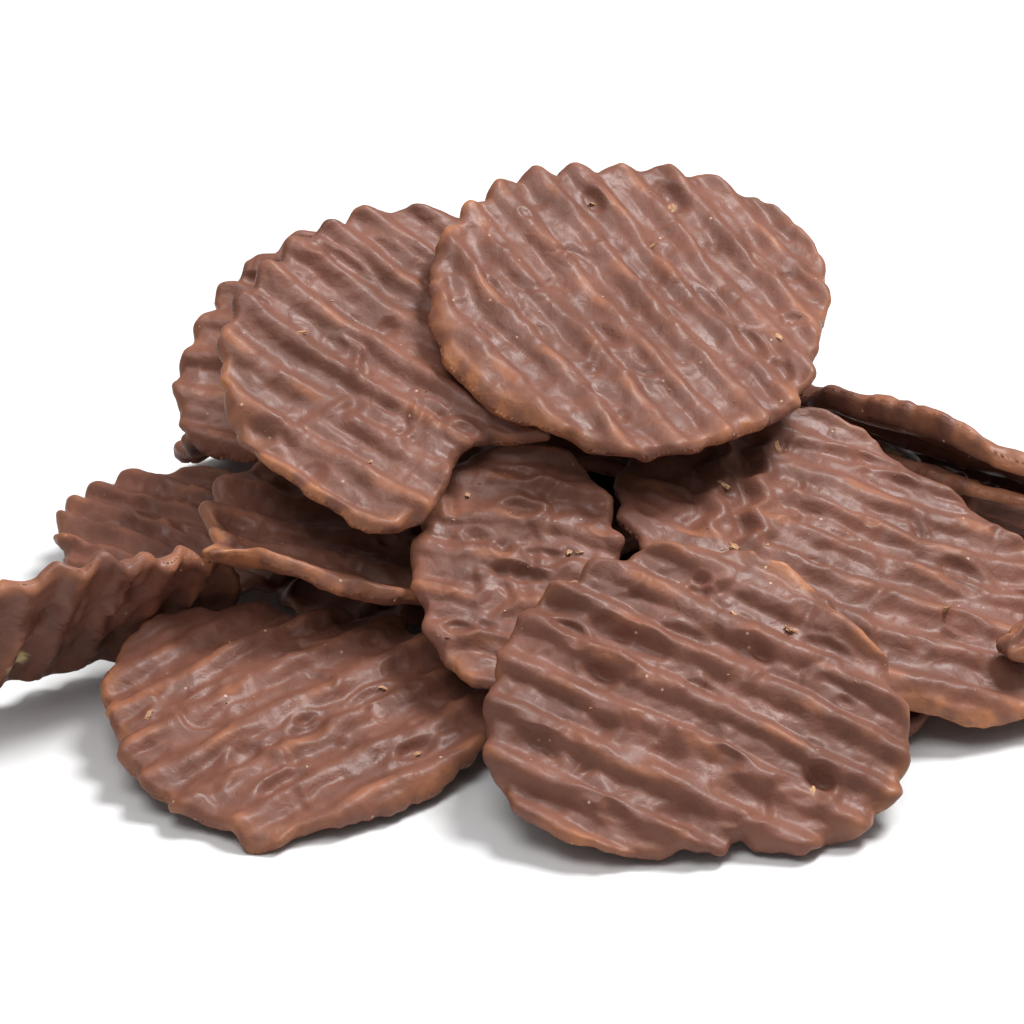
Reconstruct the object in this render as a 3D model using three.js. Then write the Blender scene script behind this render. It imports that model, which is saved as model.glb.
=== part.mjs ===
// Heap of chocolate-coated ridged crisps. Units are millimetres, +Z is up, the front faces -Y.
import * as THREE from 'three';

// ---- sizes shared by every crisp ----
const THICKNESS = 1.6;          // crisp with its coat
const RIDGE_PITCH = 5.8;        // from crest to crest
const RIDGE_HEIGHT = 0.7;       // crest above the middle of the sheet
const BEND_SPAN = 20;           // a bend or cup is given as the rise at this distance from the middle
const BUMP_SPREAD = 28;         // degrees an outline bump spreads either way
const ALONG = 5;                // points along each ridge line

const DEG = Math.PI / 180;
const coat = new THREE.Color(0.30, 0.17, 0.11);

// Every crisp: centre, tilt from level and the compass way it faces (0 is +X, 90 is +Y), the heading
// of its ridges, half length along the ridges, half width across them, bend along, cup across and
// outline bumps as [heading from the ridge line, rise]. A crisp with a ridge pitch of its own has pitch.
const CRISPS = {
  // the ones that show from the front
  crisp_top: { at: [16, 30.4, 37.6], tilt: 24, toward: 309, ridges: 309, half: [24, 28.4], bend: 0.8,
    cup: -0.8, pitch: 6.1, bumps: [[107, 3.6], [52, -3.2], [322, 2.4], [147, -1.2]] },
  crisp_upper_left: { at: [-12.8, 17.2, 34.4], tilt: 28, toward: 293, ridges: 331, half: [21.6, 25.2],
    bend: 1.2, cup: -0.8, bumps: [[330, -10], [302, 5.6], [115, 2.8], [55, -2.8], [275, -3.6]] },
  crisp_behind_left: { at: [-25.2, 36.8, 29.6], tilt: 26, toward: 271, ridges: 350, half: [14.4, 20.4],
    bend: 0.8, cup: -1.6, bumps: [[230, 4], [280, -2.8], [130, -1.6], [75, 1.6]] },
  crisp_cupped: { at: [-22, 6.4, 16.8], tilt: 16, toward: 314, ridges: 359, half: [15.2, 14],
    bend: 0.4, cup: 4, bumps: [[320, 1.2], [255, -0.8]] },
  crisp_far_left: { at: [-42.4, 26.4, 7.2], tilt: 3, toward: 248, ridges: 327, half: [17.6, 14.8],
    bend: -0.8, cup: 0.8, pitch: 4.6, bumps: [[145, 1.6], [215, -1.2]] },
  crisp_leaning_left: { at: [-51.2, -5.8, 12], tilt: 58, toward: 121, ridges: 309, half: [11.2, 22],
    bend: 1.2 },
  crisp_front_left: { at: [-25.2, -16.8, 6.4], tilt: 12, toward: 281, ridges: 40, half: [20.8, 21.2],
    bend: -0.8, cup: -0.8, bumps: [[45, -2.8], [330, 2.4], [110, 2.4], [260, -1.6]] },
  crisp_front_right: { at: [20.8, -25.3, 12.1], tilt: 33, toward: 278, ridges: 335, half: [22.8, 21.2],
    bend: -0.8, cup: -0.8, pitch: 5.5, bumps: [[305, -3.2], [235, 3.2], [10, 2], [145, -1.6]] },
  crisp_middle: { at: [0.8, -3.8, 18.4], tilt: 28, toward: 274, ridges: 350, half: [12.8, 17.6],
    bend: -0.8, cup: -0.8, bumps: [[315, 2], [130, 1.6], [30, -1.2], [225, -1.2]] },
  crisp_right: { at: [40, 4.4, 15.7], tilt: 22, toward: 306, ridges: 346, half: [29.2, 21.2],
    bend: -0.8, cup: -0.8, bumps: [[55, -2.4], [120, 4], [335, 3.2], [210, -2]] },
  crisp_leaning_right: { at: [53.6, 40.4, 12.8], tilt: 46, toward: 51, ridges: 322, half: [23.2, 11.6],
    cup: 0.8 },
  crisp_under_leaning: { at: [59.2, 33.6, 8], tilt: 43, toward: 52, ridges: 322, half: [16, 9.2],
    cup: 0.8 },
  crisp_under_right: { at: [37.2, -6, 2.4], tilt: 0, toward: 0, ridges: 0, half: [13.2, 12.4],
    bend: 0.8 },
  // the ones underneath and behind that carry them
  crisp_back_left: { at: [-25.6, 58.8, 13.4], tilt: 38, toward: 136, ridges: 18, half: [21.6, 19.2] },
  crisp_base_left: { at: [-10.8, 29.2, 5.6], tilt: 11, toward: 183, ridges: 69, half: [22.4, 20] },
  crisp_base_right: { at: [28.8, 35.2, 2], tilt: 0, toward: 0, ridges: 20, half: [22.4, 20] },
  crisp_back: { at: [17.2, 68.2, 17.6], tilt: 50, toward: 83, ridges: 101, half: [21.6, 20] },
  crisp_base_front: { at: [10.4, 10.4, 5.6], tilt: 11, toward: 185, ridges: 40, half: [20.8, 19.2] },
  crisp_inside_low: { at: [3.6, 28.4, 13.2], tilt: 2, toward: 190, ridges: 140, half: [21.6, 20] },
  crisp_inside_high: { at: [15.6, 36.4, 23.6], tilt: 17, toward: 298, ridges: 10, half: [20.8, 19.2] },
  crisp_inside_back: { at: [0.8, 42.8, 17.2], tilt: 2, toward: 187, ridges: 60, half: [21.6, 19.2] },
  crisp_inside_top: { at: [13.2, 40.4, 33.2], tilt: 22, toward: 300, ridges: 60, half: [16.4, 16] },
  // a broken piece lying on the right-hand crisp
  broken_piece: { at: [60.9, -6.8, 10], tilt: 22, toward: 306, ridges: 50, half: [4.4, 2.8] },
};

function outline(c, angle) {
  const along = c.half[1] * Math.cos(angle);
  const across = c.half[0] * Math.sin(angle);
  let radius = c.half[0] * c.half[1] / Math.hypot(along, across);
  for (const [heading, rise] of c.bumps ?? []) {
    const away = ((angle / DEG - heading + 540) % 360) - 180;
    radius += rise * Math.exp(-((away / BUMP_SPREAD) ** 2));
  }
  return radius;
}

// Where a straight ridge line at distance v from the middle leaves the outline.
function reach(c, v, side) {
  let inside = 0;
  let outside = 60;
  for (let i = 0; i < 40; i++) {
    const u = (inside + outside) / 2;
    const angle = Math.atan2(v, side * u);
    if (Math.hypot(u, v) < outline(c, angle)) inside = u;
    else outside = u;
  }
  return side * inside;
}

// Furthest ridge line that still crosses the crisp.
function edge(c, side) {
  let inside = 0;
  let outside = 60;
  for (let i = 0; i < 40; i++) {
    const v = (inside + outside) / 2;
    const angle = Math.atan2(side * v, 0);
    if (v < outline(c, angle)) inside = v;
    else outside = v;
  }
  return side * inside;
}

function height(c, u, v) {
  const bend = (c.bend ?? 0) * (u / BEND_SPAN) ** 2 + (c.cup ?? 0) * (v / BEND_SPAN) ** 2;
  return bend + RIDGE_HEIGHT * Math.cos(2 * Math.PI * v / (c.pitch ?? RIDGE_PITCH));
}

function crisp(name, c) {
  const low = edge(c, -1) + 0.4;
  const high = edge(c, 1) - 0.4;
  const lines = [low];
  const half = (c.pitch ?? RIDGE_PITCH) / 2;
  for (let i = Math.ceil((low + 0.7) / half); i * half < high - 0.7; i++) lines.push(i * half);
  lines.push(high);

  const tilt = new THREE.Quaternion();
  const facing = new THREE.Vector3(
    Math.sin(c.tilt * DEG) * Math.cos(c.toward * DEG),
    Math.sin(c.tilt * DEG) * Math.sin(c.toward * DEG),
    Math.cos(c.tilt * DEG),
  );
  tilt.setFromUnitVectors(new THREE.Vector3(0, 0, 1), facing);
  const turn = new THREE.Quaternion().setFromAxisAngle(new THREE.Vector3(0, 0, 1), c.ridges * DEG);
  const pose = tilt.multiply(turn);
  const centre = new THREE.Vector3(...c.at);

  const rows = lines.length;
  const points = [];
  for (const side of [1, -1]) {
    for (const v of lines) {
      const start = reach(c, v, -1);
      const end = reach(c, v, 1);
      for (let k = 0; k < ALONG; k++) {
        const u = start + (end - start) * k / (ALONG - 1);
        const p = new THREE.Vector3(u, v, height(c, u, v) + side * THICKNESS / 2);
        points.push(p.applyQuaternion(pose).add(centre));
      }
    }
  }

  const at = (side, row, k) => side * rows * ALONG + row * ALONG + k;
  const faces = [];
  const quad = (a, b, d, e) => faces.push(a, b, d, a, d, e);
  for (let row = 0; row < rows - 1; row++) {
    for (let k = 0; k < ALONG - 1; k++) {
      quad(at(0, row, k), at(0, row, k + 1), at(0, row + 1, k + 1), at(0, row + 1, k));
      quad(at(1, row, k), at(1, row + 1, k), at(1, row + 1, k + 1), at(1, row, k + 1));
    }
    quad(at(0, row, 0), at(0, row + 1, 0), at(1, row + 1, 0), at(1, row, 0));
    const last = ALONG - 1;
    quad(at(0, row, last), at(1, row, last), at(1, row + 1, last), at(0, row + 1, last));
  }
  for (let k = 0; k < ALONG - 1; k++) {
    quad(at(0, 0, k), at(1, 0, k), at(1, 0, k + 1), at(0, 0, k + 1));
    quad(at(0, rows - 1, k), at(0, rows - 1, k + 1), at(1, rows - 1, k + 1), at(1, rows - 1, k));
  }

  const geometry = new THREE.BufferGeometry();
  geometry.setAttribute('position', new THREE.Float32BufferAttribute(points.flatMap((p) => p.toArray()), 3));
  geometry.setIndex(faces);
  geometry.computeVertexNormals();
  const mesh = new THREE.Mesh(geometry, new THREE.MeshStandardMaterial({ color: coat, roughness: 0.5 }));
  mesh.name = name;
  return mesh;
}

const part = new THREE.Group();
part.name = 'crisp_heap';
for (const [name, c] of Object.entries(CRISPS)) part.add(crisp(name, c));

// The origin is the middle of the heap's box, on the table.
const box = new THREE.Box3().setFromObject(part);
for (const mesh of part.children) {
  mesh.geometry.translate(-(box.min.x + box.max.x) / 2, -(box.min.y + box.max.y) / 2, -box.min.z);
}

export default part;
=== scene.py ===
"""Heap of chocolate-coated ridged crisps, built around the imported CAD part.

Sizes in the tables are millimetres and degrees.
"""

import math

import bmesh
import bpy
import numpy as np
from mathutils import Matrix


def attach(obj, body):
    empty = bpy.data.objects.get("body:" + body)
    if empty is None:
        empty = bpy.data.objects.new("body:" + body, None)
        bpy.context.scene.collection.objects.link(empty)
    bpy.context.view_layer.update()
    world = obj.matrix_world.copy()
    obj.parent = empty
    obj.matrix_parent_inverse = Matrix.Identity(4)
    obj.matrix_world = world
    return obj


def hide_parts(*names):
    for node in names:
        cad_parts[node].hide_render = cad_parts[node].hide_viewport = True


MM = 0.001
PITCH = 5.8  # ridge to ridge
RIDGE = 0.72  # crest above the middle of the sheet
THICK = 1.6  # crisp with its coat
BEND_SPAN = 20.0  # a bend or cup is the rise this far from the middle
BUMP_SPREAD = 28.0  # degrees an outline bump spreads either way
COAT = 0.08  # coat over the CAD's face
SCALLOP = 0.52  # how strongly the ridge ends shape the rim
JAG, NICK = 0.6, 0.28  # coarse and fine unevenness of the rim
LUMP, KNOB, GRIT = 0.2, 0.12, 0.08  # coat lumps from coarse to fine
DIMPLES, FOLDS, POCKETS = 22, 9, 7  # on each face; DETAIL can give a crisp its own dimples and pockets
DEEPEST, HIGHEST = -1.25, 1.3  # coat relief stays between these
LATTICE = 64  # noise repeats after this many cells
FINE_CRUMBS = 14  # on each crisp that has crumbs
CAMERA_DOWN = 26  # degrees the camera looks down
HEAP_SHIFT = np.array([-1.34, -20.74, 0.03])  # table below to the row's origin

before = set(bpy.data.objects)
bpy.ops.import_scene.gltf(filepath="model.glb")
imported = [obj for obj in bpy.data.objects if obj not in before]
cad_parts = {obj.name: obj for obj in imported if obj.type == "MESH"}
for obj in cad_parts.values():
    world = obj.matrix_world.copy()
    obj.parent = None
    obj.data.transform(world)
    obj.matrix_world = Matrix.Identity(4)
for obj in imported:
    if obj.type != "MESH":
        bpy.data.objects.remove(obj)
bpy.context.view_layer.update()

# Each crisp repeats the CAD's centre, tilt, way it faces, ridge heading, half sizes, bends and bumps.
# n is the number of grid cells across its top, a multiple of 4, and seed sets its noise.
CRISPS = {
    "crisp_top": dict(at=(16, 30.4, 37.6), tilt=24, toward=309, ridges=309, half=(24, 28.4), bend=0.8,
         cup=-0.8, pitch=6.1, bumps=[(107, 3.6), (52, -3.2), (322, 2.4), (147, -1.2)], n=176, seed=11),
    "crisp_upper_left": dict(at=(-12.8, 17.2, 34.4), tilt=28, toward=293, ridges=331, half=(21.6, 25.2),
         bend=1.2, cup=-0.8, bumps=[(330, -10), (302, 5.6), (115, 2.8), (55, -2.8), (275, -3.6)],
         n=168, seed=12),
    "crisp_behind_left": dict(at=(-25.2, 36.8, 29.6), tilt=26, toward=271, ridges=350, half=(14.4, 20.4),
         bend=0.8, cup=-1.6, bumps=[(230, 4), (280, -2.8), (130, -1.6), (75, 1.6)], n=124, seed=13),
    "crisp_cupped": dict(at=(-22, 6.4, 16.8), tilt=16, toward=314, ridges=359, half=(15.2, 14), bend=0.4,
         cup=4, bumps=[(320, 1.2), (255, -0.8)], n=128, seed=14),
    "crisp_far_left": dict(at=(-42.4, 26.4, 7.2), tilt=3, toward=248, ridges=327, half=(17.6, 14.8),
         bend=-0.8, cup=0.8, pitch=4.6, bumps=[(145, 1.6), (215, -1.2)], n=128, seed=15),
    "crisp_leaning_left": dict(at=(-51.2, -5.8, 12), tilt=58, toward=121, ridges=309, half=(11.2, 22),
         bend=1.2, cup=0, bumps=[], n=132, seed=16),
    "crisp_front_left": dict(at=(-25.2, -16.8, 6.4), tilt=12, toward=281, ridges=40, half=(20.8, 21.2),
         bend=-0.8, cup=-0.8, bumps=[(45, -2.8), (330, 2.4), (110, 2.4), (260, -1.6)], n=172, seed=17),
    "crisp_front_right": dict(at=(20.8, -25.3, 12.1), tilt=33, toward=278, ridges=335, half=(22.8, 21.2),
         bend=-0.8, cup=-0.8, pitch=5.5, bumps=[(305, -3.2), (235, 3.2), (10, 2), (145, -1.6)],
         n=180, seed=18),
    "crisp_middle": dict(at=(0.8, -3.8, 18.4), tilt=28, toward=274, ridges=350, half=(12.8, 17.6), bend=-0.8,
         cup=-0.8, bumps=[(315, 2), (130, 1.6), (30, -1.2), (225, -1.2)], n=152, seed=19),
    "crisp_right": dict(at=(40, 4.4, 15.7), tilt=22, toward=306, ridges=346, half=(29.2, 21.2), bend=-0.8,
         cup=-0.8, bumps=[(55, -2.4), (120, 4), (335, 3.2), (210, -2)], n=184, seed=20),
    "crisp_leaning_right": dict(at=(53.6, 40.4, 12.8), tilt=46, toward=51, ridges=322, half=(23.2, 11.6),
         bend=0, cup=0.8, bumps=[], n=132, seed=21),
    "crisp_under_leaning": dict(at=(59.2, 33.6, 8), tilt=43, toward=52, ridges=322, half=(16, 9.2), bend=0,
         cup=0.8, bumps=[], n=104, seed=22),
    "crisp_under_right": dict(at=(37.2, -6, 2.4), tilt=0, toward=0, ridges=0, half=(13.2, 12.4), bend=0.8,
         cup=0, bumps=[], n=80, seed=23),
    "crisp_back_left": dict(at=(-25.6, 58.8, 13.4), tilt=38, toward=136, ridges=18, half=(21.6, 19.2), bend=0,
         cup=0, bumps=[], n=116, seed=24),
    "crisp_base_left": dict(at=(-10.8, 29.2, 5.6), tilt=11, toward=183, ridges=69, half=(22.4, 20), bend=0,
         cup=0, bumps=[], n=88, seed=25),
    "crisp_base_right": dict(at=(28.8, 35.2, 2), tilt=0, toward=0, ridges=20, half=(22.4, 20), bend=0, cup=0,
         bumps=[], n=96, seed=26),
    "crisp_back": dict(at=(17.2, 68.2, 17.6), tilt=50, toward=83, ridges=101, half=(21.6, 20), bend=0, cup=0,
         bumps=[], n=120, seed=27),
    "crisp_base_front": dict(at=(10.4, 10.4, 5.6), tilt=11, toward=185, ridges=40, half=(20.8, 19.2), bend=0,
         cup=0, bumps=[], n=80, seed=28),
    "crisp_inside_low": dict(at=(3.6, 28.4, 13.2), tilt=2, toward=190, ridges=140, half=(21.6, 20), bend=0,
         cup=0, bumps=[], n=80, seed=29),
    "crisp_inside_high": dict(at=(15.6, 36.4, 23.6), tilt=17, toward=298, ridges=10, half=(20.8, 19.2),
         bend=0, cup=0, bumps=[], n=80, seed=30),
    "crisp_inside_back": dict(at=(0.8, 42.8, 17.2), tilt=2, toward=187, ridges=60, half=(21.6, 19.2), bend=0,
         cup=0, bumps=[], n=88, seed=31),
    "crisp_inside_top": dict(at=(13.2, 40.4, 33.2), tilt=22, toward=300, ridges=60,
         half=(16.4, 16), bend=0, cup=0, bumps=[], n=88, seed=33),
    "broken_piece": dict(at=(60.9, -6.8, 10), tilt=22, toward=306, ridges=50, half=(4.4, 2.8), bend=0, cup=0,
         bumps=[], n=40, seed=32),
}


# What only some crisps show, in each crisp's own axes (u along the ridges, v across, headings from u):
#   relief, fill    how high the ridges are, and the level of the chocolate between them
#   fade, curl      u where the ridges fade out, and how far they swerve at the ends
#   golden, swell   thin warm rim and thick rim, as (heading, width, strength)
#   tabs, lifts     rim pushed out as (heading, rise, width), or bent up as (heading, width, rise)
#   bands           coat bands across the ridges, as (share of the half length, height)
#   bare            broken coat, as (u, v, half length, half width, face)
#   pockets, dimples  how many hollows of each kind
DETAIL = {
    "crisp_top": dict(relief=1.1, fill=-0.3, pockets=8,
                      golden=[(275, 30, 0.9), (70, 25, 0.6), (215, 14, 0.8), (185, 8, 0.7), (350, 12, 0.7),
                              (20, 10, 0.5)],
                      swell=[(262, 34, 0.45)]),
    "crisp_upper_left": dict(relief=1.05, fill=-0.3, golden=[(280, 34, 0.95), (232, 20, 0.5)],
                             swell=[(285, 30, 0.3)]),
    "crisp_behind_left": dict(relief=1.0, fill=-0.35, golden=[(180, 40, 0.4)]),
    "crisp_cupped": dict(relief=0.8, fill=-0.3, golden=[(222, 36, 0.9), (262, 30, 0.8)],
                         swell=[(250, 50, 0.5)], tabs=[(217, 3.6, 7)], lifts=[(250, 55, 2.2)]),
    "crisp_far_left": dict(relief=0.95, fill=-0.55, golden=[(180, 30, 0.4)]),
    "crisp_leaning_left": dict(relief=1.0, fill=-0.3, pockets=14, golden=[(60, 50, 0.4)],
                              bare=[(-5.3, -6.7, 1.1, 1.6, -1)]),
    "crisp_front_left": dict(relief=0.9, fill=-0.28, pockets=10,
                             golden=[(140, 26, 0.8), (225, 12, 0.6), (290, 20, 0.5)], tabs=[(224, 1.7, 8)]),
    "crisp_front_right": dict(relief=1.2, fill=-0.45, pockets=18,
                              golden=[(75, 38, 0.8), (355, 16, 0.8), (262, 16, 0.5)],
                              swell=[(75, 34, 0.3)], tabs=[(310, -1.3, 4)]),
    "crisp_middle": dict(relief=0.8, fill=-0.25, golden=[(160, 40, 0.6), (255, 14, 0.6)]),
    "crisp_right": dict(relief=1.0, fill=-0.35, fade=(-19, -6), curl=-2.2, bands=[(0.5, 0.95), (0.68, 0.7)],
                        golden=[(315, 20, 0.9), (26, 8, 1.0), (335, 12, 0.7)]),
    "crisp_leaning_right": dict(relief=0.75, fill=-0.4, golden=[(330, 40, 0.6)], swell=[(270, 90, 0.9)],
                                bare=[(-14.5, -5.6, 2.2, 1.0, -1), (-11.2, -3.2, 2.4, 1.0, -1),
                                      (-8.0, 0.2, 1.8, 1.2, -1), (-5.5, 3.2, 1.2, 1.4, -1)]),
    "crisp_under_leaning": dict(relief=0.8, fill=-0.4, golden=[(300, 60, 0.5)]),
    "broken_piece": dict(relief=0.4, fill=-0.1, dimples=2, golden=[(0, 60, 0.9), (150, 60, 0.9)],
                         tabs=[(150, 1.2, 16), (20, 1.0, 14), (270, -0.8, 18)]),
}
for name, more in DETAIL.items():
    CRISPS[name].update(more)


# ---------------------------------------------------------------- noise and small shape functions
def smooth(low, high, x):
    t = np.clip((x - low) / (high - low), 0.0, 1.0)
    return t * t * (3 - 2 * t)


def blend_max(a, b, k):
    """The larger of a and b, with a soft join k wide."""
    h = np.clip(0.5 + 0.5 * (a - b) / k, 0.0, 1.0)
    return b + (a - b) * h + k * h * (1 - h)


def noise(seed, x, y):
    """Gradient noise in the plane, about -1 to 1, repeating every LATTICE units."""
    rng = np.random.default_rng(seed)
    turn = rng.random((LATTICE, LATTICE)) * 2 * math.pi
    gx, gy = np.cos(turn), np.sin(turn)
    x0, y0 = np.floor(x).astype(int), np.floor(y).astype(int)
    fx, fy = x - x0, y - y0

    def corner(i, j):
        a, b = (x0 + i) % LATTICE, (y0 + j) % LATTICE
        return gx[a, b] * (fx - i) + gy[a, b] * (fy - j)

    sx = fx * fx * fx * (fx * (fx * 6 - 15) + 10)
    sy = fy * fy * fy * (fy * (fy * 6 - 15) + 10)
    low = corner(0, 0) * (1 - sx) + corner(1, 0) * sx
    high = corner(0, 1) * (1 - sx) + corner(1, 1) * sx
    return (low * (1 - sy) + high * sy) * 1.6


def away_from(heading, angle):
    """Degrees from a heading, -180 to 180."""
    return (np.degrees(angle) - heading + 540) % 360 - 180


def spot(rng, c, spread):
    """A random place within a share of the crisp's outline."""
    a, b = c["half"]
    r, t = math.sqrt(rng.random()) * spread, rng.random() * 2 * math.pi
    return r * a * math.cos(t), r * b * math.sin(t)


def outline(c, angle):
    """Distance from the middle to the CAD rim at a heading from the ridge line."""
    a, b = c["half"]
    radius = a * b / np.hypot(b * np.cos(angle), a * np.sin(angle))
    for heading, rise in c["bumps"]:
        radius = radius + rise * np.exp(-((away_from(heading, angle) / BUMP_SPREAD) ** 2))
    return radius


def near(c, angle, stretches):
    """How far each heading lies inside rim stretches (heading, width, strength)."""
    total = np.zeros_like(angle)
    for heading, width, strength in stretches:
        total = np.maximum(total, strength * np.exp(-((away_from(heading, angle) / width) ** 2)))
    return total


def rim(c, angle):
    """The CAD rim with the scallops of the ridge ends, nicks and tabs."""
    s = c["seed"] * 100
    radius = outline(c, angle)
    x, y = np.cos(angle) * radius, np.sin(angle) * radius
    ends = np.abs(np.cos(angle)) ** 1.5
    domes = 2 * np.sqrt(np.cos(np.pi * y / c.get("pitch", PITCH)) ** 2 + 0.02) - 1.3
    radius = radius + SCALLOP * ends * domes * (1 + 0.8 * noise(s + 34, x / 5, y / 5))
    radius = radius + JAG * noise(s + 1, x / 4.2, y / 4.2) + NICK * noise(s + 2, x / 1.7, y / 1.7)
    for heading, rise, width in c.get("tabs", []):
        radius = radius + rise * np.exp(-((away_from(heading, angle) / width) ** 4))
    return radius


# ---------------------------------------------------------------- one crisp
def sheet(c, u, v):
    """Height of the slice's middle, where each point is on its ridge (-1 to 1), and the ridge's height."""
    s = c["seed"] * 100
    line = v + 0.6 * noise(s + 3, u / 15, v / 19) + 0.3 * noise(s + 4, u / 6, v / 6)
    line = line + c.get("curl", 0.0) * np.clip(u / 20, 0, 2) ** 2
    crest = np.cos(2 * np.pi * line / c.get("pitch", PITCH))
    strength = np.clip(0.95 + 0.7 * noise(s + 5, u / 7, v / 5), 0.3, 1.5) * c.get("relief", 1.0)
    if "fade" in c:
        strength = strength * (0.22 + 0.78 * smooth(*c["fade"], u))
    warp = 0.5 * noise(s + 40, u / 14, v / 14)
    bend = c["bend"] * (u / BEND_SPAN) ** 2 + c["cup"] * (v / BEND_SPAN) ** 2 + warp
    return bend + RIDGE * strength * crest, crest, RIDGE * strength * crest


def fold(u, v, u1, v1, u2, v2, width, rise):
    """A step in the coat along a line, raised on one side and hollow on the other."""
    length = math.hypot(u2 - u1, v2 - v1)
    du, dv = (u2 - u1) / length, (v2 - v1) / length
    along = (u - u1) * du + (v - v1) * dv
    off = (v - v1) * du - (u - u1) * dv
    off = off + 0.7 * np.sin(along * 1.1 + u1)
    ends = smooth(-1.5, 1.0, along) * smooth(-1.5, 1.0, length - along)
    step = np.exp(-(((off - width) / width) ** 2)) - 0.8 * np.exp(-(((off + width) / width) ** 2))
    return rise * ends * step


def coat(c, u, v, crest, ridge, side):
    """Extra chocolate on one face, and its masks: thin over crests, thick where it has pooled."""
    s = c["seed"] * 100 + (50 if side < 0 else 0)
    facing = crest if side > 0 else -crest
    relief = ridge if side > 0 else -ridge
    # chocolate lies in the valleys, to a level that rises and falls along them
    level = c.get("fill", -0.4) + 0.42 * noise(s + 6, u / 7.5, v / 3.4)
    level = level + 0.16 * noise(s + 7, u / 3.0, v / 2.2)
    filled = blend_max(relief, level, 0.3)
    pooled = filled - relief
    rise = pooled
    # edges of the last chocolate to flow: low terraces with a thin lip
    wx = u + 2.0 * noise(s + 8, u / 5, v / 5)
    wy = v + 2.0 * noise(s + 9, u / 5, v / 5)
    for k, (size, step, spread) in enumerate(((9.0, 0.1, 0.13), (5.0, 0.03, 0.16))):
        f = noise(s + 10 + k, wx / size, wy / size)
        where = smooth(-0.05, 0.35, noise(s + 14 + k, u / 7, v / 7))
        lip = 0.45 * np.exp(-((f / (spread * 0.7)) ** 2))
        rise = rise + where * step * (smooth(-spread, spread, f) + lip)
    # lumps
    rise = rise + LUMP * noise(s + 20, u / 5.0, v / 3.4) + KNOB * noise(s + 22, u / 2.9, v / 2.3)
    rise = rise + GRIT * noise(s + 21, u / 1.5, v / 1.5)
    # dimples where a bubble burst
    rng = np.random.default_rng(s + 23)
    for _ in range(c.get("dimples", DIMPLES)):
        pu, pv = spot(rng, c, 0.92)
        size = rng.uniform(0.45, 1.3)
        q = ((u - pu) / (size * rng.uniform(1.0, 1.9))) ** 2 + ((v - pv) / size) ** 2
        rise = rise - rng.uniform(0.2, 0.5) * np.exp(-q) + 0.1 * np.exp(-((np.sqrt(q) - 1.7) ** 2) * 6)
    # folds across the ridges
    for _ in range(FOLDS):
        pu, pv = spot(rng, c, 0.85)
        turn, long = rng.normal(math.pi / 2, 0.5), rng.uniform(2.5, 6.0)
        rise = rise + fold(u, v, pu, pv, pu + long * math.cos(turn), pv + long * math.sin(turn),
                           rng.uniform(0.5, 0.8), rng.choice((-1, 1)) * rng.uniform(0.15, 0.35))
    # pockets between ridges that the coat bridged
    for _ in range(c.get("pockets", POCKETS)):
        pu, pv = spot(rng, c, 0.85)
        q = ((u - pu) / rng.uniform(1.6, 3.2)) ** 2 + ((v - pv) / rng.uniform(0.9, 1.4)) ** 2
        lip = np.exp(-((np.sqrt(q) - 1.35) ** 2) * 7) * (0.5 + 0.5 * np.tanh(v - pv))
        rise = rise - rng.uniform(0.35, 0.75) * np.exp(-q * q) + 0.3 * lip
    # broad bands of coat across the ridges
    a, b = c["half"]
    if side > 0:
        for share, height in c.get("bands", []):
            rise = rise + fold(u, v, -share * a, 0.7 * b, -share * a + 3, -0.25 * b, 1.1, height)
    thin = smooth(0.5, 1.0, facing) * smooth(-0.1, 0.5, noise(s + 24, u / 7, v / 5))
    thin = thin * (1 - smooth(0.1, 0.4, pooled))
    return rise, thin, smooth(0.1, 0.7, pooled)


def cells(n):
    """A disc laid out as an n by n grid, with finer cells by the rim: distance (0 to 1) and heading."""
    line = np.linspace(-1, 1, n + 1)
    x, y = np.meshgrid(line, line, indexing="ij")
    wide = np.abs(x) >= np.abs(y)
    safe_x, safe_y = np.where(x == 0, 1e-9, x), np.where(y == 0, 1e-9, y)
    r = np.where(wide, x, y)
    turn = np.where(wide, math.pi / 4 * y / safe_x, math.pi / 2 - math.pi / 4 * x / safe_y)
    angle = np.where(r < 0, turn + math.pi, turn)
    far = np.abs(r)
    return 1 - (1 - far) ** 1.25, angle


def about_z(a):
    return np.array([[math.cos(a), -math.sin(a), 0], [math.sin(a), math.cos(a), 0], [0, 0, 1]])


def about_y(a):
    return np.array([[math.cos(a), 0, math.sin(a)], [0, 1, 0], [-math.sin(a), 0, math.cos(a)]])


def pose(c, p):
    """Points from the crisp's own axes to the row's, in metres."""
    tilt, toward, heading = (math.radians(c[k]) for k in ("tilt", "toward", "ridges"))
    turn = about_z(toward) @ about_y(tilt) @ about_z(heading - toward)
    return (p @ turn.T + np.array(c["at"]) + HEAP_SHIFT) * MM


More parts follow.
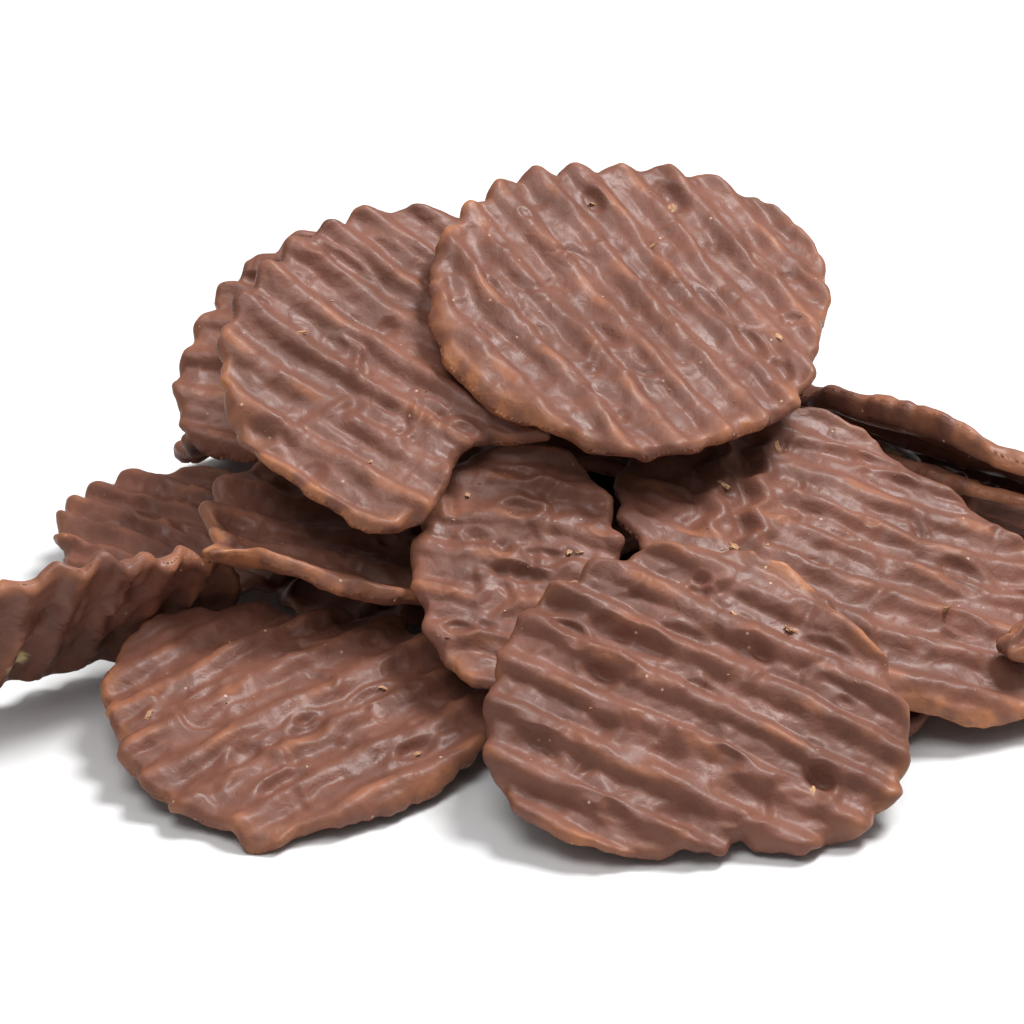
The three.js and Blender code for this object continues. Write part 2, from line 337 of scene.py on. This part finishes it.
def face(c, rho, angle, side):
    """Points of one face and its colour masks."""
    edge = rim(c, angle)
    calm = outline(c, angle)
    # the rim's small nicks die out towards the middle
    radius = rho * (calm + (edge - calm) * rho**6)
    u, v = radius * np.cos(angle), radius * np.sin(angle)
    middle, crest, ridge = sheet(c, u, v)
    rise, thin, pooled = coat(c, u, v, crest, ridge, side)
    gap = edge * (1 - rho)
    s = c["seed"] * 100
    swell = near(c, angle, c.get("swell", []))
    roll = 0.95 + 0.7 * swell
    full = np.sqrt(1 - (1 - np.clip(gap / roll, 0, 1)) ** 2)
    bead = (0.2 + swell) * np.exp(-(((gap - 1.2) / 1.3) ** 2)) * (0.6 + 0.6 * noise(s + 30, u / 5, v / 5))
    for heading, width, lift in c.get("lifts", []):
        middle = middle + near(c, angle, [(heading, width, lift)]) * np.exp(-((gap / 3.2) ** 2))
    relief = np.clip(rise, DEEPEST, HIGHEST) * smooth(0.0, 3.0, gap + 0.8)
    z = middle + side * full * (THICK / 2 + COAT + bead + relief)
    points = np.stack([u, v, z], axis=-1)
    by_rim = np.exp(-((gap / 0.9) ** 2)) * smooth(0.0, 0.5, noise(s + 31, u / 6, v / 6)) * 0.32
    golden = near(c, angle, c.get("golden", [])) * np.exp(-((gap / 1.5) ** 2))
    by_rim = np.maximum(by_rim, golden * smooth(-0.6, 0.2, noise(s + 33, u / 3, v / 3)))
    bare = np.zeros_like(u)
    for pu, pv, ru, rv, on in c.get("bare", []):
        if on == side:
            q = ((u - pu) / ru) ** 2 + ((v - pv) / rv) ** 2 + 0.5 * noise(s + 32, u / 1.5, v / 1.5)
            bare = np.maximum(bare, 1 - smooth(0.75, 1.05, q))
    return points, thin, pooled, by_rim, bare


def build(name, c):
    """One crisp as a closed mesh: a fine top face and an under face with half as many cells."""
    n = c["n"]
    rho, angle = cells(n)
    top = face(c, rho, angle, 1)
    under = face(c, rho[::2, ::2], angle[::2, ::2], -1)
    m = n // 2

    above = np.arange((n + 1) ** 2).reshape(n + 1, n + 1)
    below = np.empty((m + 1, m + 1), int)
    below[1:-1, 1:-1] = (n + 1) ** 2 + np.arange((m - 1) ** 2).reshape(m - 1, m - 1)
    for i in (0, -1):
        below[i, :] = above[i, ::2]
        below[:, i] = above[::2, i]

    def join(a, b):
        return np.concatenate([a.reshape((n + 1) ** 2, -1), b[1:-1, 1:-1].reshape((m - 1) ** 2, -1)])

    points = pose(c, join(top[0], under[0]))
    quads = np.concatenate([
        np.stack([above[:-1, :-1], above[1:, :-1], above[1:, 1:], above[:-1, 1:]], -1).reshape(-1, 4),
        np.stack([below[:-1, :-1], below[:-1, 1:], below[1:, 1:], below[1:, :-1]], -1).reshape(-1, 4),
    ])
    slivers = []
    for run, flip in ((above[0, :], False), (above[-1, :], True), (above[:, 0], True), (above[:, -1], False)):
        a, b, d = run[:-2:2], run[1:-1:2], run[2::2]
        slivers.append(np.stack([a, d, b] if flip else [a, b, d], -1))
    faces = quads.tolist() + np.concatenate(slivers).tolist()

    mesh = bpy.data.meshes.new(name)
    mesh.from_pydata(points.tolist(), [], faces)
    for k, mask in enumerate(("thin", "pooled", "rim", "bare")):
        layer = mesh.attributes.new(mask, "FLOAT", "POINT")
        layer.data.foreach_set("value", join(top[k + 1], under[k + 1]).ravel().astype(np.float32))
    mesh.shade_smooth()
    mesh.update()
    piece = bpy.data.objects.new(name + "_look", mesh)
    bpy.context.scene.collection.objects.link(piece)
    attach(piece, "root")
    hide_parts(name)
    return piece


# ---------------------------------------------------------------- materials
def chocolate():
    """Milk chocolate, coloured by the masks that build() stores on each crisp."""
    mat = bpy.data.materials.new("chocolate_coat")
    mat.use_nodes = True
    tree = mat.node_tree
    nodes, links = tree.nodes, tree.links
    nodes.clear()
    out = nodes.new("ShaderNodeOutputMaterial")
    shader = nodes.new("ShaderNodeBsdfPrincipled")
    links.new(shader.outputs["BSDF"], out.inputs["Surface"])
    place = nodes.new("ShaderNodeTexCoord").outputs["Object"]

    def mask(name):
        node = nodes.new("ShaderNodeAttribute")
        node.attribute_name = name
        return node.outputs["Fac"]

    def grain(scale, detail=3.0, rough=0.55, warp=0.0):
        node = nodes.new("ShaderNodeTexNoise")
        node.inputs["Scale"].default_value = scale
        node.inputs["Detail"].default_value = detail
        node.inputs["Roughness"].default_value = rough
        node.inputs["Distortion"].default_value = warp
        links.new(place, node.inputs["Vector"])
        return node.outputs["Fac"]

    def between(value, low, high, to_low=0.0, to_high=1.0):
        node = nodes.new("ShaderNodeMapRange")
        node.interpolation_type = "SMOOTHSTEP"
        for key, number in (("From Min", low), ("From Max", high), ("To Min", to_low), ("To Max", to_high)):
            node.inputs[key].default_value = number
        links.new(value, node.inputs["Value"])
        return node.outputs["Result"]

    def sums(kind, a, b):
        node = nodes.new("ShaderNodeMath")
        node.operation = kind
        for k, value in enumerate((a, b)):
            if isinstance(value, (int, float)):
                node.inputs[k].default_value = value
            else:
                links.new(value, node.inputs[k])
        return node.outputs["Value"]

    def mix(factor, a, b):
        node = nodes.new("ShaderNodeMix")
        node.data_type = "RGBA"
        links.new(factor, node.inputs["Factor"])
        for key, value in (("A", a), ("B", b)):
            socket = [i for i in node.inputs if i.name == key and i.type == "RGBA"][0]
            if isinstance(value, tuple):
                socket.default_value = (*value, 1.0)
            else:
                links.new(value, socket)
        return [o for o in node.outputs if o.type == "RGBA"][0]

    # milk chocolate, greyer where it has bloomed and warmer where it is thin
    colour = mix(between(grain(110, 4), 0.38, 0.62), (0.134, 0.052, 0.034), (0.182, 0.072, 0.048))
    colour = mix(between(grain(300, 3), 0.45, 0.7, 0.0, 0.35), colour, (0.200, 0.076, 0.048))
    colour = mix(sums("MULTIPLY", mask("pooled"), 0.5), colour, (0.145, 0.063, 0.046))
    warm = sums("MULTIPLY", mask("thin"), between(grain(160, 4), 0.32, 0.6, 0.25, 0.95))
    colour = mix(warm, colour, (0.27, 0.102, 0.053))
    gold = sums("MULTIPLY", mask("rim"), between(grain(230, 5, 0.6), 0.32, 0.6, 0.3, 1.0))
    colour = mix(gold, colour, (0.45, 0.178, 0.075))
    # broken coat shows the fried potato
    potato = mix(between(grain(700, 3), 0.4, 0.65), (0.50, 0.36, 0.17), (0.66, 0.52, 0.30))
    colour = mix(mask("bare"), colour, potato)
    # fine pale dust
    dots = nodes.new("ShaderNodeTexVoronoi")
    dots.inputs["Scale"].default_value = 430
    links.new(place, dots.inputs["Vector"])
    dust = between(dots.outputs["Distance"], 0.05, 0.10, 1.0, 0.0)
    dust = sums("MULTIPLY", dust, between(grain(120, 2), 0.5, 0.62, 0.0, 0.8))
    colour = mix(dust, colour, (0.55, 0.38, 0.27))
    links.new(colour, shader.inputs["Base Color"])

    rough = between(grain(330, 4), 0.3, 0.7, 0.42, 0.58)
    rough = sums("ADD", rough, sums("MULTIPLY", mask("thin"), 0.06))
    rough = sums("ADD", rough, sums("MULTIPLY", mask("bare"), 0.3))
    links.new(rough, shader.inputs["Roughness"])
    shader.inputs["Coat Weight"].default_value = 0.04
    shader.inputs["Coat Roughness"].default_value = 0.2
    shader.inputs["Specular IOR Level"].default_value = 0.28

    fine = nodes.new("ShaderNodeBump")
    fine.inputs["Strength"].default_value = 0.2
    fine.inputs["Distance"].default_value = 0.00025
    links.new(grain(1500, 3, 0.6), fine.inputs["Height"])
    broad = nodes.new("ShaderNodeBump")
    broad.inputs["Strength"].default_value = 0.45
    broad.inputs["Distance"].default_value = 0.0005
    links.new(grain(520, 3, 0.5, 0.4), broad.inputs["Height"])
    links.new(broad.outputs["Normal"], fine.inputs["Normal"])
    links.new(fine.outputs["Normal"], shader.inputs["Normal"])
    return mat


def fried():
    """Fried potato, for the crumbs."""
    mat = bpy.data.materials.new("fried_potato")
    mat.use_nodes = True
    tree = mat.node_tree
    shader = tree.nodes["Principled BSDF"]
    place = tree.nodes.new("ShaderNodeTexCoord")
    grain = tree.nodes.new("ShaderNodeTexNoise")
    grain.inputs["Scale"].default_value = 900
    grain.inputs["Detail"].default_value = 3
    ramp = tree.nodes.new("ShaderNodeValToRGB")
    ramp.color_ramp.elements[0].position = 0.35
    ramp.color_ramp.elements[0].color = (0.24, 0.10, 0.05, 1.0)
    ramp.color_ramp.elements[1].position = 0.65
    ramp.color_ramp.elements[1].color = (0.50, 0.29, 0.15, 1.0)
    bump = tree.nodes.new("ShaderNodeBump")
    bump.inputs["Strength"].default_value = 0.5
    bump.inputs["Distance"].default_value = 0.0002
    tree.links.new(place.outputs["Object"], grain.inputs["Vector"])
    tree.links.new(grain.outputs["Fac"], ramp.inputs["Fac"])
    tree.links.new(grain.outputs["Fac"], bump.inputs["Height"])
    tree.links.new(ramp.outputs["Color"], shader.inputs["Base Color"])
    tree.links.new(bump.outputs["Normal"], shader.inputs["Normal"])
    shader.inputs["Roughness"].default_value = 0.7
    return mat


def plain(name, colour, rough):
    mat = bpy.data.materials.new(name)
    mat.use_nodes = True
    shader = mat.node_tree.nodes["Principled BSDF"]
    shader.inputs["Base Color"].default_value = (*colour, 1.0)
    shader.inputs["Roughness"].default_value = rough
    return mat


# ---------------------------------------------------------------- build the heap
brown = chocolate()
for name, c in CRISPS.items():
    piece = build(name, c)
    piece.data.materials.append(brown)

# ---------------------------------------------------------------- crumbs of fried potato on the coats
CRUMBS = {  # crisp: how many large flakes lie on it
    "crisp_middle": 6,
    "crisp_top": 4,
    "crisp_right": 5,
    "crisp_front_right": 3,
    "crisp_front_left": 3,
    "crisp_upper_left": 2,
}


def on_top(name, u, v):
    """The point of a crisp's upper face at (u, v), in metres."""
    c = CRISPS[name]
    u, v = np.array([u]), np.array([v])
    middle, crest, ridge = sheet(c, u, v)
    rise = coat(c, u, v, crest, ridge, 1)[0]
    return pose(c, np.stack([u, v, middle + THICK / 2 + 0.1 + np.clip(rise, -0.6, 1.3)], -1))[0]


def crumbs():
    """All crumbs as one mesh of bent flakes."""
    rng = np.random.default_rng(5)
    ball = bmesh.new()
    bmesh.ops.create_icosphere(ball, subdivisions=2, radius=1.0)
    shape = np.array([p.co[:] for p in ball.verts])
    faces = [[p.index for p in f.verts] for f in ball.faces]
    ball.free()
    spots = []
    for name, large in CRUMBS.items():
        for k in range(large + FINE_CRUMBS):
            u, v = spot(rng, CRISPS[name], 0.85)
            size = rng.uniform(0.9, 2.1) if k < large else rng.uniform(0.15, 0.45)
            spots.append((name, u, v, size))
    points, polygons = [], []
    for name, u, v, size in spots:
        rough = shape * (1 + 0.35 * rng.normal(size=(len(shape), 1)).clip(-1, 1))
        flake = rough * np.array([size / 2, size * rng.uniform(0.18, 0.3), size * rng.uniform(0.08, 0.16)])
        turn, lean = rng.random() * 2 * math.pi, rng.normal(0, 0.35)
        flake[:, 2] += 0.12 * size * np.sin(flake[:, 0] / size * 3)
        base = len(points)
        points += (flake @ (about_z(turn) @ about_y(lean)).T * MM + on_top(name, u, v)).tolist()
        polygons += [[base + i for i in f] for f in faces]
    mesh = bpy.data.meshes.new("crumbs")
    mesh.from_pydata(points, [], polygons)
    piece = bpy.data.objects.new("crumbs", mesh)
    bpy.context.scene.collection.objects.link(piece)
    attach(piece, "root")
    return piece


crumbs().data.materials.append(fried())

# ---------------------------------------------------------------- floor, light, camera
bpy.ops.mesh.primitive_plane_add(size=8.0, location=(0, 0, 0))
floor = bpy.context.object
floor.name = "floor"
floor.data.materials.append(plain("floor_white", (0.72, 0.72, 0.72), 0.6))

# even light low down, dim just above it and brighter overhead
world = bpy.data.worlds.new("studio")
bpy.context.scene.world = world
world.use_nodes = True
sky = world.node_tree
way = sky.nodes.new("ShaderNodeTexCoord")
split = sky.nodes.new("ShaderNodeSeparateXYZ")
ramp = sky.nodes.new("ShaderNodeValToRGB")
stops = ramp.color_ramp.elements
stops[0].position, stops[0].color = 0.05, (0.9, 0.9, 0.9, 1.0)
stops[1].position, stops[1].color = 0.09, (0.09, 0.09, 0.09, 1.0)
stop = stops.new(1.0)
stop.color = (0.5, 0.5, 0.5, 1.0)
sky.links.new(way.outputs["Generated"], split.inputs["Vector"])
sky.links.new(split.outputs["Z"], ramp.inputs["Fac"])
sky.links.new(ramp.outputs["Color"], sky.nodes["Background"].inputs["Color"])
sky.nodes["Background"].inputs["Strength"].default_value = 1.0


def lamp(name, at, aim, size, power):
    data = bpy.data.lights.new(name, "AREA")
    data.shape = "DISK"
    data.size = size
    data.energy = power
    light = bpy.data.objects.new(name, data)
    bpy.context.scene.collection.objects.link(light)
    light.location = at
    away = np.array(at) - np.array(aim)
    light.rotation_euler = (math.atan2(math.hypot(away[0], away[1]), away[2]), 0.0,
                            math.atan2(away[0], -away[1]))


lamp("key", (0.32, 0.16, 0.72), (0, 0, 0.02), 0.3, 8.0)
lamp("fill", (-0.15, -0.35, 0.85), (0, 0, 0.02), 0.5, 3.7)

camera_data = bpy.data.cameras.new("camera")
camera_data.lens = 119.6
camera_data.sensor_width = 36.0
camera_data.clip_start = 0.01
camera = bpy.data.objects.new("camera", camera_data)
bpy.context.scene.collection.objects.link(camera)
camera.location = (-0.00134, -0.38026, 0.19883)
camera.rotation_euler = (math.radians(90 - CAMERA_DOWN), 0.0, 0.0)
bpy.context.scene.camera = camera

bpy.context.scene.view_settings.view_transform = "Standard"
